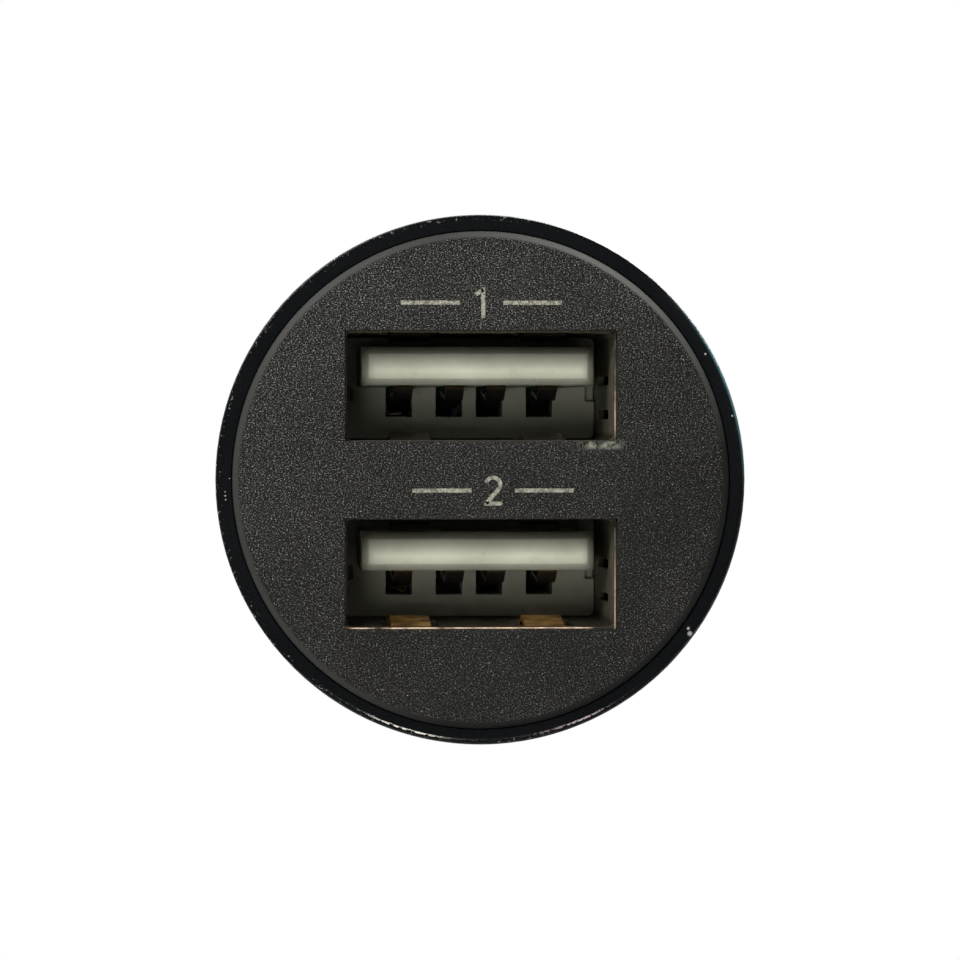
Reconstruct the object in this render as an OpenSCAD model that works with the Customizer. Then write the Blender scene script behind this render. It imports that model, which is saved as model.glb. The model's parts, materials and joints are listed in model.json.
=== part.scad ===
// Two-port car charger plug, in millimetres.
// The plug's axis is Y: the port face looks to -Y, the centre contact to +Y, and +Z is up.
// The origin is on the axis, in the plane of the head's shoulder.

/* [Head] */
// Outside diameter of the head
head_d = 25.0; // [24.8:0.1:27]
// Length of the head, from the port face to the shoulder
head_len = 20.5; // [20.3:0.1:26]
// Diameter of the head at its shoulder
head_rear_d = 23.6; // [23:0.1:24.4]
// Wall of the head sleeve
head_wall = 1.3; // [1.2:0.05:1.5]
// Length of the taper down to the shoulder
head_taper_len = 5.0; // [3:0.5:9]
// Floor of the head sleeve, which the barrel is clipped to
floor_t = 1.6; // [1.2:0.1:1.8]
// Rounding of the rim's outer edge
rim_edge_r = 0.35; // [0.1:0.05:0.5]
// Rounding of the shoulder's outer edge
shoulder_edge_r = 0.5; // [0.2:0.1:0.8]
// How far the rim lies behind the port face
rim_drop = 0.3; // [0.1:0.05:0.6]

/* [Face plate] */
// Width of the glossy rim seen round the plate
rim_w = 0.78; // [0.6:0.02:0.9]
// Thickness of the plate
plate_t = 1.3; // [1.2:0.1:1.8]
// Rounding of the plate's outer edge
plate_edge_r = 0.3; // [0.1:0.05:0.5]
// Width of each port window
window_w = 12.83; // [12.8:0.02:13]
// Height of each port window
window_h = 5.23; // [5.2:0.02:5.4]
// Distance between the centres of the two ports
port_pitch = 8.85; // [8.6:0.05:9.2]
// Length of the clip arms behind the plate
arm_len = 4.2; // [3.6:0.1:5]
// Thickness of the clip arms
arm_t = 0.9; // [0.8:0.05:1.1]
// Width of each clip arm
arm_w = 7.6; // [6:0.2:9]
// Height of the clip lugs
lug_h = 0.35; // [0.2:0.05:0.45]

/* [Ports] */
// Inside width of the metal can
can_in_w = 12.6; // [12.5:0.02:12.7]
// Inside height of the metal can
can_in_h = 5.12; // [5.08:0.02:5.18]
// Thickness of the metal sheet
sheet_t = 0.3; // [0.25:0.01:0.35]
// How far the can's front edge lies behind the port face
can_inset = 1.0; // [0.9:0.05:1.1]
// How far the tongue's front lies behind the port face
tongue_inset = 3.0; // [2.6:0.1:3.4]
// How far the port's back wall lies behind the port face
port_depth = 12.0; // [11.8:0.1:12.4]
// Clearance between the tongue and each side of the can
tongue_side = 0.75; // [0.7:0.01:0.85]
// Thickness of the tongue
tongue_t = 1.84; // [1.7:0.02:1.9]
// Clearance between the tongue and the top of the can
tongue_gap = 0.66; // [0.6:0.02:0.8]
// Bevel round the tongue's front
tongue_bevel = 0.33; // [0.2:0.01:0.45]
// Thickness of the block behind the back wall
block_t = 2.4; // [2:0.1:2.6]
// Width of one contact spring
contact_w = 0.9; // [0.7:0.05:1]
// Thickness of one contact spring
contact_t = 0.2; // [0.15:0.01:0.25]
// Width of the opening that a contact comes out of
contact_slot_w = 1.3; // [1.2:0.05:1.4]
// Height of that opening
contact_slot_h = 1.48; // [1.4:0.02:1.6]
// Width of the grip fingers in the top and bottom of the can
finger_w = 1.9; // [1.5:0.1:2.2]
// Length of the grip fingers
finger_len = 5.4; // [4.5:0.1:6]
// How far a grip finger reaches into the can
finger_rise = 0.36; // [0.2:0.02:0.44]

/* [Barrel] */
// Diameter of the band that centres the plug in a socket
barrel_d = 20.8; // [20.7:0.02:20.9]
// Length of that band
band_len = 9.0; // [8:0.5:10]
// How much smaller in radius the barrel is beyond the band
barrel_step = 0.2; // [0.18:0.01:0.24]
// Length of the barrel, from the shoulder to the nose ring
barrel_len = 34.0; // [33.5:0.5:40]
// Wall of the barrel
barrel_wall = 1.6; // [1.4:0.05:1.8]
// Depth to which the barrel sits in the head's floor
spigot_len = 1.0; // [0.7:0.1:1.4]
// Thickness of the clip collar
collar_t = 0.7; // [0.6:0.05:0.7]
// Height of the bead on the clip collar
bead_h = 0.45; // [0.3:0.05:0.45]
// Width of the side windows
side_window_w = 4.4; // [4.2:0.1:4.8]

/* [Nose and centre contact] */
// Diameter of the neck that the nose ring screws on to
neck_d = 16.8; // [16.4:0.1:17.2]
// Length of that neck
neck_len = 3.6; // [3:0.1:4]
// Bore of the neck, in which the contact's flange slides
neck_bore_d = 13.8; // [13.4:0.1:14]
// Length of the nose ring
nose_len = 7.0; // [6.8:0.1:9]
// Diameter of the nose ring at its front
nose_front_d = 14.8; // [13:0.2:16]
// Front wall of the nose ring
nose_wall = 1.6; // [1.2:0.1:2]
// Number of grip flutes round the nose ring
flutes = 30; // [18:1:36]
// Diameter of the centre contact's shaft
tip_d = 8.9; // [8:0.1:9.4]
// How far the centre contact stands out of the nose
tip_out = 4.6; // [4.6:0.1:6]
// How far the centre contact can be pressed in
tip_travel = 3.0; // [2:0.1:3]
// Thickness of the centre contact's flange
flange_t = 1.2; // [1:0.1:1.4]
// Diameter of the spring wire
spring_wire = 0.8; // [0.6:0.05:0.85]
// Mean diameter of the spring
spring_d = 6.6; // [6.2:0.1:8]
// Working turns of the spring
spring_turns = 2.4; // [2:0.1:2.6]

/* [Side contacts] */
// Diameter across the two side contacts at rest
contacts_span = 23.4; // [22.8:0.1:23.6]
// Width of a side contact's spring leaf
leaf_w = 3.8; // [3.2:0.1:3.8]
// Thickness of the spring leaf
leaf_t = 0.45; // [0.35:0.05:0.5]
// Radius of the rolled eye at the leaf's front end
eye_r = 0.7; // [0.6:0.05:0.75]

/* [Circuit boards] */
// Thickness of both circuit boards
board_t = 1.2; // [1:0.1:1.6]
// Width of the power board beside the side contacts
tail_board_w = 10.0; // [9.6:0.1:10.2]
// Height of the smoothing capacitors
capacitor_h = 5.4; // [4.5:0.1:6]
// Height of the inductor's core
core_h = 5.0; // [4:0.1:6]
// Space between neighbouring parts on the power board
part_space = 0.25; // [0.15:0.05:0.4]

/* [Fits] */
// Clearance between moulded parts that fit together
fit = 0.05; // [0.03:0.01:0.1]
// Clearance where a part only has to pass or drop in
loose = 0.1; // [0.06:0.01:0.2]
// Running clearance of the centre contact in the nose ring
run_fit = 0.05; // [0.02:0.01:0.09]

/* [Hidden] */
$fn = 96;
eps = 0.01;

// Radii and places along the axis, from the port face to the tip
head_r = head_d / 2;
head_bore_r = head_r - head_wall;
plate_r = head_r - rim_w;
barrel_r = barrel_d / 2;
body_r = barrel_r - barrel_step;
bore_r = body_r - barrel_wall;
collar_r = bore_r + collar_t;
floor_hole_r = collar_r + loose;
face_y = -head_len;
plate_back_y = face_y + plate_t;
can_y = face_y + can_inset;
tongue_y = face_y + tongue_inset;
back_wall_y = face_y + port_depth;
port_board_y = back_wall_y + block_t;
power_board_y = port_board_y + board_t;
floor_y = -spigot_len - floor_t;
bead_y = floor_y - fit;
bead_len = 1.05;
collar_slot_w = 3;
leg_len = 0.95;
can_w = can_in_w + 2 * sheet_t;
can_h = can_in_h + 2 * sheet_t;
port_z = port_pitch / 2;
tongue_top = can_in_h / 2 - tongue_gap;
tongue_low = tongue_top - tongue_t;
tongue_w = can_in_w - 2 * tongue_side;
contact_inner_x = 1;
contact_outer_x = 3.5;
contact_xs = [-contact_outer_x, -contact_inner_x, contact_inner_x, contact_outer_x];
contact_rest_z = tongue_low - 0.95;

neck_r = neck_d / 2;
neck_bore_r = neck_bore_d / 2;
nose_y = barrel_len + fit;
nose_end_y = nose_y + nose_len;
flange_y = nose_end_y - nose_wall - loose - flange_t;
tip_r = tip_d / 2;
flange_r = neck_bore_r - 0.5;
end_turns = 0.9;
spring_solid = (spring_turns + 2 * end_turns + 1) * spring_wire;
spring_plate_t = 0.5;
spring_plate_y = flange_y - tip_travel - spring_solid - loose - spring_plate_t;
stop_y = spring_plate_y + spring_plate_t + loose;
board_end_y = spring_plate_y;

// The side contacts: each turns about its rolled eye, beside the power board
eye_x = bore_r - 1.3;
eye_y = band_len + 1.9;
tail_len = board_end_y - eye_y;
board_half = bore_r - 0.4;
tail_half = tail_board_w / 2;
board_z = board_t / 2;
leaf_len = 0.88 * tail_len;
leaf_peak_x = contacts_span / 2 - leaf_t / 2;
leaf_peak_y = eye_y + 0.53 * leaf_len;
leaf_end_y = eye_y + leaf_len;
leaf_end_x = eye_x + 0.7;
leaf_bow_len = 0.52 * leaf_len;
leaf_bow_drop = 1.15;
window_y0 = eye_y + 1.3;
window_y1 = leaf_end_y - 0.7;

// Turns a profile of radius and place along Y into a round solid about the Y axis
module turned() {
    rotate([-90, 0, 0]) rotate_extrude() children();
}

// Extrudes a shape drawn in X and Z along Y
module along_y(y0, y1) {
    translate([0, y1, 0]) rotate([90, 0, 0]) linear_extrude(y1 - y0) children();
}

// Extrudes a shape drawn in Y and Z along X, centred on x
module across_x(x, w) {
    translate([x - w / 2, 0, 0]) rotate([90, 0, 90]) linear_extrude(w) children();
}

// A band of a turned profile
module band(r0, r1, y0, y1) {
    translate([r0, y0]) square([r1 - r0, y1 - y0]);
}

// What rounds off the corner at the origin of a shape that lies in the first quadrant
module corner_round(r) {
    difference() {
        translate([-1, -1]) square(r + 1);
        translate([r, r]) circle(r);
    }
}

// A rectangle about the origin with rounded corners
module rounded_rect(w, h, r) {
    square([w - 2 * r, h], center = true);
    square([w, h - 2 * r], center = true);
    for (x = [-1, 1], y = [-1, 1])
        translate([x * (w / 2 - r), y * (h / 2 - r)]) circle(r);
}

// A rod along Y
module rod_y(r, y0, y1) {
    translate([0, y0, 0]) rotate([-90, 0, 0]) cylinder(r = r, h = y1 - y0);
}

// The outline of a bent sheet of thickness t whose middle follows the points p
function unit(v) = v / norm(v);
function left_of(v) = [-v[1], v[0]];
function mitre(p, i) =
    let (last = len(p) - 1,
         a = left_of(unit(p[max(i, 1)] - p[max(i, 1) - 1])),
         b = left_of(unit(p[min(i, last - 1) + 1] - p[min(i, last - 1)])))
    (a + b) / (1 + a * b);
function sheet_outline(p, t) = concat(
    [for (i = [0 : len(p) - 1]) p[i] + mitre(p, i) * t / 2],
    [for (i = [len(p) - 1 : -1 : 0]) p[i] - mitre(p, i) * t / 2]
);

// Cuts a bevel of c along the upper front edge of a block that starts at y = 0
module edge_bevel(w, h, c) {
    translate([0, 0, h / 2 - c]) rotate([45, 0, 0])
        translate([-w, -c, 0]) cube([2 * w, 4 * c, 2 * c]);
}

// Cuts bevels along all four front edges
module front_bevels(w, h, c) {
    for (a = [0, 180]) rotate([0, a, 0]) edge_bevel(w, h, c);
    for (a = [90, 270]) rotate([0, a, 0]) edge_bevel(h, w, c);
}

// Head sleeve: rim, tapered sleeve, floor with counterbore, ribs that carry the port board
module head_profile() {
    rear_r = head_rear_d / 2;
    front = face_y + rim_drop;
    difference() {
        polygon([
            [floor_hole_r, 0], [rear_r, 0], [rear_r, -1.2], [head_r, -head_taper_len],
            [head_r, front], [head_bore_r, front], [head_bore_r, floor_y], [floor_hole_r, floor_y]
        ]);
        translate([rear_r, 0]) mirror([1, 0]) mirror([0, 1]) corner_round(shoulder_edge_r);
        translate([head_r, front]) mirror([1, 0]) corner_round(rim_edge_r);
        band(0, plate_r + fit, front - 1, plate_back_y);
        band(0, barrel_r + fit, -spigot_len, 1);
        band(0, head_bore_r + lug_h + loose, lug_y() - loose, lug_y() + lug_len() + loose);
    }
}

module head_sleeve() {
    color([0.04, 0.04, 0.045]) {
        turned() head_profile();
        board_ribs();
        floor_keys();
    }
}

module board_ribs() {
    for (a = [0 : 90 : 270])
        rotate([0, a + 45, 0])
            translate([-0.8, power_board_y, floor_hole_r + 0.8])
                cube([1.6, floor_y - power_board_y + eps, head_bore_r - floor_hole_r - 0.6]);
}

// Keys that stand in the slots of the barrel's collar and stop it turning
module floor_keys() {
    key_w = collar_slot_w - 2 * loose;
    for (a = [0, 180])
        rotate([0, a, 0])
            translate([-key_w / 2, floor_y, bore_r + loose])
                cube([key_w, floor_t, floor_hole_r - bore_r - loose + 0.3]);
}

function lug_len() = 0.8;
function lug_y() = plate_back_y + arm_len - 1.4;

// Face plate: round plate, two port windows with pockets behind them, four clip arms
module face_plate() {
    arm_r = head_bore_r - loose;
    color([0.14, 0.14, 0.145]) difference() {
        union() {
            turned() difference() {
                band(0, plate_r, face_y, plate_back_y);
                translate([plate_r, face_y]) mirror([1, 0]) corner_round(plate_edge_r);
            }
            intersection() {
                turned() clip_ring_profile(arm_r);
                union() {
                    cube([arm_w, 2 * head_d, head_d], center = true);
                    cube([head_d, 2 * head_d, arm_w], center = true);
                }
            }
            for (z = [-port_z, port_z]) translate([0, 0, z]) pocket_wall();
        }
        for (z = [-port_z, port_z]) translate([0, 0, z]) window_cut();
    }
}

module clip_ring_profile(arm_r) {
    band(arm_r - arm_t, arm_r, plate_back_y - eps, plate_back_y + arm_len);
    polygon([
        [arm_r - eps, lug_y()], [arm_r + lug_h, lug_y()],
        [arm_r + lug_h, lug_y() + 0.3], [arm_r - eps, lug_y() + lug_len()]
    ]);
}

module pocket_wall() {
    wall = 0.55;
    along_y(plate_back_y - eps, plate_back_y + 1.2)
        square([can_w + 2 * (loose + wall), can_h + 2 * (loose + wall)], center = true);
}

module window_cut() {
    along_y(face_y - 1, can_y) square([window_w, window_h], center = true);
    along_y(can_y - fit, plate_back_y + 2)
        square([can_w + 2 * loose, can_h + 2 * loose], center = true);
}

// Metal can of one port: a folded sheet with grip fingers, side fingers and four legs
module port_can() {
    corner = 0.5;
    color([0.72, 0.66, 0.55]) {
        difference() {
            along_y(can_y, port_board_y) difference() {
                rounded_rect(can_w, can_h, corner);
                rounded_rect(can_in_w, can_in_h, corner - sheet_t + 0.05);
            }
            can_mouth_bevel();
            for (x = finger_xs(), s = [-1, 1]) finger_window(x, s);
            for (s = [-1, 1]) side_window(s);
            along_y(port_board_y - 2.4, port_board_y + 1)
                translate([0, -can_h / 2]) square([0.12, 2], center = true);
        }
        for (x = finger_xs(), s = [-1, 1]) grip_finger(x, s);
        for (s = [-1, 1]) side_finger(s);
        for (s = [-1, 1], z = leg_zs()) can_leg(s, z);
    }
}

function finger_xs() = [-3.2, 3.2];
function finger_y() = can_y + 1.3;
function finger_slot() = 0.45;
function leg_zs() = [-1.45, 1.45];
leg_w = 1.5;

module can_mouth_bevel() {
    bevel = 0.14;
    translate([0, can_y, 0]) {
        for (a = [0, 180]) rotate([0, a, 0]) mouth_bevel(can_in_w, can_in_h, bevel);
        for (a = [90, 270]) rotate([0, a, 0]) mouth_bevel(can_in_h, can_in_w, bevel);
    }
}

// Cuts a bevel along the straight of one inner edge of a mouth that is w wide and h high
module mouth_bevel(w, h, c) {
    straight = w - 1.0;
    translate([0, c, h / 2]) rotate([135, 0, 0])
        translate([-straight / 2, 0, -c]) cube([straight, 2 * c, c]);
}

module finger_window(x, s) {
    across_x(x, finger_w + 2 * finger_slot())
        translate([finger_y(), s * can_h / 2 - 1]) square([finger_len + finger_slot(), 2]);
}

module grip_finger(x, s) {
    z = (can_h - sheet_t) / 2;
    y0 = finger_y();
    across_x(x, finger_w) polygon(sheet_outline([
        [y0 - 0.4, s * z], [y0 + 0.5, s * z], [y0 + finger_len - 1.5, s * (z - finger_rise)],
        [y0 + finger_len - 0.6, s * (z - finger_rise + 0.05)], [y0 + finger_len, s * (z - 0.1)]
    ], sheet_t));
}

side_finger_z = -0.5;
side_finger_w = 1.2;
side_finger_len = 6.0;

module side_window(s) {
    h = side_finger_w + 2 * finger_slot();
    translate([s * can_w / 2, tongue_y + 1 + side_finger_len / 2, side_finger_z])
        cube([1.6, side_finger_len, h], center = true);
}

module side_finger(s) {
    x = (can_w - sheet_t) / 2;
    y0 = tongue_y + 1;
    translate([0, 0, side_finger_z - side_finger_w / 2]) linear_extrude(side_finger_w)
        polygon(sheet_outline([
            [s * x, y0 - 0.4], [s * x, y0 + 0.6], [s * (x - 0.22), y0 + side_finger_len - 1.4],
            [s * (x - 0.05), y0 + side_finger_len - 0.4]
        ], sheet_t));
}

module can_leg(s, z) {
    x = s * (can_w - sheet_t) / 2;
    translate([x - sheet_t / 2, port_board_y - eps, z - leg_w / 2])
        cube([sheet_t, board_t + leg_len + eps, leg_w]);
}

// Plastic insert of one port: the block behind the back wall and the tongue
module port_insert() {
    block_w = can_in_w - 2 * fit;
    block_h = can_in_h - 2 * fit;
    color([0.78, 0.78, 0.72]) difference() {
        union() {
            along_y(back_wall_y, port_board_y) rounded_rect(block_w, block_h, 0.3);
            difference() {
                along_y(tongue_y, back_wall_y + 1) translate([0, tongue_low + tongue_t / 2])
                    square([tongue_w, tongue_t], center = true);
                translate([0, tongue_y, tongue_low + tongue_t / 2])
                    front_bevels(tongue_w, tongue_t, tongue_bevel);
            }
        }
        for (x = contact_xs) {
            along_y(back_wall_y - 1, port_board_y + 1)
                translate([x - contact_slot_w / 2, tongue_low - contact_slot_h])
                    square([contact_slot_w, contact_slot_h]);
            along_y(tongue_y + 1, port_board_y + 1)
                translate([x - contact_w / 2 - loose, tongue_low - eps])
                    square([contact_w + 2 * loose, contact_groove + eps]);
        }
        for (s = [-1, 1])
            translate([s * block_w / 2, back_wall_y, -0.3]) cube([0.9, 1.6, 0.7], center = true);
    }
}

contact_groove = 0.5;

// The four contact springs of one port, each one bent strip
contact_heel = 0.9;
contact_neck = 1.2;
contact_belly_y = 4;
contact_belly_drop = 0.6;
contact_lip_y = 1.9;
contact_lip_len = 0.7;
module port_contacts() {
    color([0.80, 0.62, 0.30]) for (x = contact_xs)
        across_x(x, contact_w) polygon(sheet_outline([
            [power_board_y + leg_len, contact_rest_z], [back_wall_y + contact_heel, contact_rest_z],
            [back_wall_y - contact_neck, tongue_low - 0.25],
            [tongue_y + contact_belly_y, tongue_low - contact_belly_drop],
            [tongue_y + contact_lip_y, tongue_low + 0.16],
            [tongue_y + contact_lip_y - contact_lip_len, tongue_low + contact_t]
        ], contact_t));
}

module upper_port_can() { translate([0, 0, port_z]) port_can(); }
module lower_port_can() { translate([0, 0, -port_z]) port_can(); }
module upper_port_insert() { translate([0, 0, port_z]) port_insert(); }
module lower_port_insert() { translate([0, 0, -port_z]) port_insert(); }
module upper_port_contacts() { translate([0, 0, port_z]) port_contacts(); }
module lower_port_contacts() { translate([0, 0, -port_z]) port_contacts(); }

// Barrel housing: collar, band, barrel with side windows, board rails, neck
module barrel_profile() {
    difference() {
        union() {
            band(bore_r, collar_r, bead_y - bead_len, -spigot_len + eps);
            polygon([
                [collar_r - eps, bead_y - bead_len], [collar_r + bead_h, bead_y - 0.3],
                [collar_r + bead_h, bead_y], [collar_r - eps, bead_y]
            ]);
            band(bore_r, body_r, -spigot_len, barrel_len);
            band(bore_r, barrel_r, 0, band_len);
            band(neck_bore_r, body_r, stop_y, barrel_len);
            band(neck_bore_r, neck_r, barrel_len - eps, barrel_len + neck_len);
        }
        translate([body_r, barrel_len]) mirror([1, 0]) mirror([0, 1]) corner_round(0.3);
    }
}

module barrel_housing() {
    color([0.07, 0.07, 0.075]) {
        difference() {
            turned() barrel_profile();
            for (a = [0 : 90 : 270]) rotate([0, a, 0])
                translate([-collar_slot_w / 2, bead_y - bead_len - 1, 0])
                    cube([collar_slot_w, bead_len + floor_t + 1 + fit, head_r]);
            translate([-head_r, window_y0, -side_window_w / 2])
                cube([head_d, window_y1 - window_y0, side_window_w]);
        }
        for (sx = [-1, 1], sz = [-1, 1]) {
            board_rail(sx, sz);
            tail_rail(sx, sz);
        }
    }
}

// One of the four rails that hold the power board behind the head
module board_rail(sx, sz) {
    intersection() {
        rod_y(bore_r + 0.5, 0, barrel_len);
        quarter_box(sx, sz, board_half - 0.9, board_z + fit, 1.0, 0.9 + 0.8, 0.9, band_len - 1);
    }
}

// One of the four rails that hold the board's narrow end
module tail_rail(sx, sz) {
    intersection() {
        rod_y(bore_r + 0.5, 0, barrel_len);
        quarter_box(sx, sz, tail_half - 1.3, board_z + fit, leaf_end_y + 0.4, 1.1, 20,
                  board_end_y - leaf_end_y - 0.6);
    }
}

// A box in the quarter of the plug that the signs sx and sz name
module quarter_box(sx, sz, x, z, y, w, h, len) {
    translate([sx > 0 ? x : -x - w, y, sz > 0 ? z : -z - h]) cube([w, len, h]);
}

// Nose ring: screwed on to the neck, it keeps the centre contact in
module nose_profile() {
    front_r = nose_front_d / 2;
    straight_y = nose_y + neck_len;
    difference() {
        polygon([
            [tip_r + run_fit, nose_end_y], [front_r, nose_end_y], [front_r, nose_end_y - 0.5],
            [body_r, straight_y],
            [body_r, nose_y], [neck_r + fit, nose_y], [neck_r + fit, nose_y + neck_len],
            [neck_bore_r, nose_y + neck_len], [neck_bore_r, nose_end_y - nose_wall],
            [tip_r + run_fit, nose_end_y - nose_wall]
        ]);
        translate([front_r, nose_end_y]) mirror([1, 0]) mirror([0, 1]) corner_round(0.4);
    }
}

module nose_ring() {
    flute_r = 0.45;
    color([0.09, 0.09, 0.095]) difference() {
        turned() nose_profile();
        for (i = [0 : flutes - 1])
            rotate([0, i * 360 / flutes, 0])
                translate([0, 0, body_r + 0.2]) rod_y(flute_r, nose_y + 0.7, nose_y + neck_len - 0.2);
    }
}

// Centre contact: domed shaft, flange and spring guide
module centre_contact() {
    dome_y = nose_end_y + tip_out - tip_r;
    color([0.80, 0.80, 0.80]) {
        turned() {
            band(0, tip_r, flange_y, dome_y);
            band(0, flange_r, flange_y, flange_y + flange_t);
            band(0, spring_d / 2 - spring_wire, flange_y - 1.2, flange_y + eps);
            intersection() {
                translate([0, dome_y]) circle(tip_r);
                band(0, tip_r, dome_y - eps, dome_y + tip_r);
            }
        }
    }
}

// The spring behind the centre contact: a wire swept along a helix with closed ends
spring_y0 = spring_plate_y + spring_plate_t + fit + spring_wire / 2;
spring_y1 = flange_y - fit - spring_wire / 2;
wire_sides = 8;
rings_per_turn = 18;
closed_rise = end_turns * spring_wire * 1.05;
all_turns = spring_turns + 2 * end_turns;
function helix_rise(t) =
    t < end_turns ? t / end_turns * closed_rise :
    t > end_turns + spring_turns
        ? spring_y1 - spring_y0 - (all_turns - t) / end_turns * closed_rise :
    closed_rise + (t - end_turns) / spring_turns * (spring_y1 - spring_y0 - 2 * closed_rise);
function wire_ring(t) =
    let (a = 360 * t, r = spring_d / 2, w = spring_wire / 2)
    [for (k = [0 : wire_sides - 1])
        let (b = 360 * k / wire_sides)
        [(r + w * cos(b)) * sin(a), spring_y0 + helix_rise(t) + w * sin(b),
         (r + w * cos(b)) * cos(a)]];

module contact_spring() {
    rings = floor(all_turns * rings_per_turn);
    points = [for (i = [0 : rings]) each wire_ring(i / rings * all_turns)];
    sides = [for (i = [0 : rings - 1], k = [0 : wire_sides - 1])
        let (a = i * wire_sides + k, b = i * wire_sides + (k + 1) % wire_sides)
        each [[a, b, b + wire_sides], [a, b + wire_sides, a + wire_sides]]];
    start = [for (k = [wire_sides - 1 : -1 : 0]) k];
    finish = [for (k = [0 : wire_sides - 1]) rings * wire_sides + k];
    color([0.75, 0.75, 0.76]) polyhedron(points, concat(sides, [start, finish]), convexity = 10);
}

// Spring plate: a disc behind the spring with a tab soldered to the power board
module spring_plate() {
    tab_w = 3;
    tab_len = 0.13 * tail_len;
    color([0.80, 0.68, 0.36]) {
        difference() {
            rod_y(neck_bore_r + 0.6, spring_plate_y, spring_plate_y + spring_plate_t);
            rod_y(0.8, spring_plate_y - 1, spring_plate_y + 2);
        }
        translate([-tab_w / 2, spring_plate_y - tab_len, board_z])
            cube([tab_w, tab_len + eps, spring_plate_t]);
    }
}

// One side contact: a rolled eye and a bowed spring leaf that stands out of the window
module side_contact(s) {
    bow = [for (i = [0 : 12])
        let (t = i / 12) [leaf_bow_x(t), leaf_peak_y + (t - 0.5) * leaf_bow_len]];
    path = concat([[eye_x + 0.3, eye_y + 0.2], [eye_x + 0.45, eye_y + 1.5]], bow,
                  [[leaf_end_x + 0.15, leaf_end_y - 1.3], [leaf_end_x, leaf_end_y]]);
    color([0.78, 0.78, 0.77]) translate([0, 0, -leaf_w / 2]) difference() {
        union() {
            linear_extrude(leaf_w) polygon(mirrored(sheet_outline(path, leaf_t), s));
            translate([s * eye_x, eye_y, 0]) cylinder(r = eye_r, h = leaf_w);
        }
        translate([s * eye_x, eye_y, -1]) cylinder(r = eye_r - leaf_t, h = leaf_w + 2);
    }
}

// Mirrors an outline to the left where s is negative
function mirrored(p, s) = [for (q = p) [s * q[0], q[1]]];

function leaf_bow_x(t) = leaf_peak_x - leaf_bow_drop * pow(2 * t - 1, 2);

module left_side_contact() { side_contact(-1); }
module right_side_contact() { side_contact(1); }

// Port board: round board that the two ports stand on, drilled for their contacts and for the pins
pin_pitch = 2;
pin_xs = [for (i = [-2 : 2]) i * pin_pitch];
pin_w = 0.64;
pin_hole_r = 0.55;
contact_hole_r = 0.65;
module port_board() {
    color([0.10, 0.32, 0.16]) difference() {
        rod_y(head_bore_r - 2 * loose, port_board_y, power_board_y);
        for (z = [-port_z, port_z]) translate([0, 0, z]) {
            for (s = [-1, 1], lz = leg_zs())
                translate([s * (can_w - sheet_t) / 2, port_board_y, lz])
                    cube([sheet_t + 2 * loose, 4, leg_w + 2 * loose], center = true);
            for (x = contact_xs)
                translate([x, 0, contact_rest_z])
                    rod_y(contact_hole_r, port_board_y - 1, power_board_y + 1);
        }
        for (x = pin_xs)
            translate([x, 0, board_z + pin_w / 2]) rod_y(pin_hole_r, port_board_y - 1, power_board_y + 1);
    }
}

// Power board: flat board along the barrel, notched for the rolled eyes of the side contacts
module power_board() {
    notch_r = eye_r + fit;
    color([0.10, 0.32, 0.16]) difference() {
        translate([0, 0, -board_z]) linear_extrude(board_t) difference() {
            polygon([
                [-board_half, power_board_y], [board_half, power_board_y],
                [board_half, eye_y], [tail_half, eye_y],
                [tail_half, board_end_y], [-tail_half, board_end_y],
                [-tail_half, eye_y], [-board_half, eye_y]
            ]);
            for (s = [-1, 1]) translate([s * eye_x, eye_y]) circle(notch_r);
        }
    }
}

// Pins that join the two boards
pin_stub = 0.8;
pin_reach = 3.4;
module board_pins() {
    color([0.80, 0.68, 0.36]) for (x = pin_xs)
        translate([x - pin_w / 2, port_board_y - pin_stub, board_z])
            cube([pin_w, pin_stub + board_t + pin_reach, pin_w]);
}

// Sizes and places of the parts on the power board, from the room between the eyes and its end
core_d = 0.36 * tail_len;
capacitor_d = 0.3 * tail_len;
capacitor_base = capacitor_d + 0.3;
fuse_w = 1.6;
output_capacitor_y = (band_len - spigot_len) / 2 + 0.6;
inductor_y = eye_y + part_space + core_d / 2;
input_capacitor_y = inductor_y + core_d / 2 + part_space + capacitor_base / 2;
fuse_y = input_capacitor_y + capacitor_base / 2 + part_space + fuse_w / 2;
converter_y = eye_y + 0.2 * tail_len;
charge_chip_y = 1.2;
diode_y = eye_y + 0.5 * tail_len;
tail_part_y = eye_y + 0.7 * tail_len;
side_part_x = board_half - 2.2;

module inductor_core() {
    flange = 0.9;
    color([0.20, 0.20, 0.21]) translate([0, inductor_y, board_z]) {
        cylinder(d = core_d, h = flange);
        cylinder(d = core_d * 0.45, h = core_h);
        translate([0, 0, core_h - flange]) cylinder(d = core_d, h = flange);
    }
}

module inductor_coil() {
    flange = 0.9;
    wire = 0.5;
    room = core_h - 2 * flange - 2 * loose;
    turns = floor(room / wire);
    color([0.72, 0.36, 0.16]) translate([0, inductor_y, board_z + flange + loose])
        rotate_extrude() {
            translate([core_d * 0.225 + fit, 0])
                square([core_d * 0.23, turns * wire]);
            for (i = [0 : turns - 1])
                translate([core_d * 0.225 + fit + core_d * 0.23, (i + 0.5) * wire])
                    circle(wire / 2);
        }
}

module can_capacitor(y) {
    base = 1.0;
    color([0.75, 0.76, 0.78]) translate([0, y, board_z]) {
        linear_extrude(base) difference() {
            square(capacitor_base, center = true);
            for (s = [-1, 1]) translate([s * capacitor_base / 2, capacitor_base / 2])
                rotate(45) square(1.4, center = true);
        }
        translate([0, 0, base - eps]) rotate_extrude() difference() {
            square([capacitor_d / 2, capacitor_h - base + eps]);
            translate([capacitor_d / 2 - 0.15, 1.1]) square([1, 0.4]);
        }
    }
}

module input_capacitor() { can_capacitor(input_capacitor_y); }
module output_capacitor() { can_capacitor(output_capacitor_y); }

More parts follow.
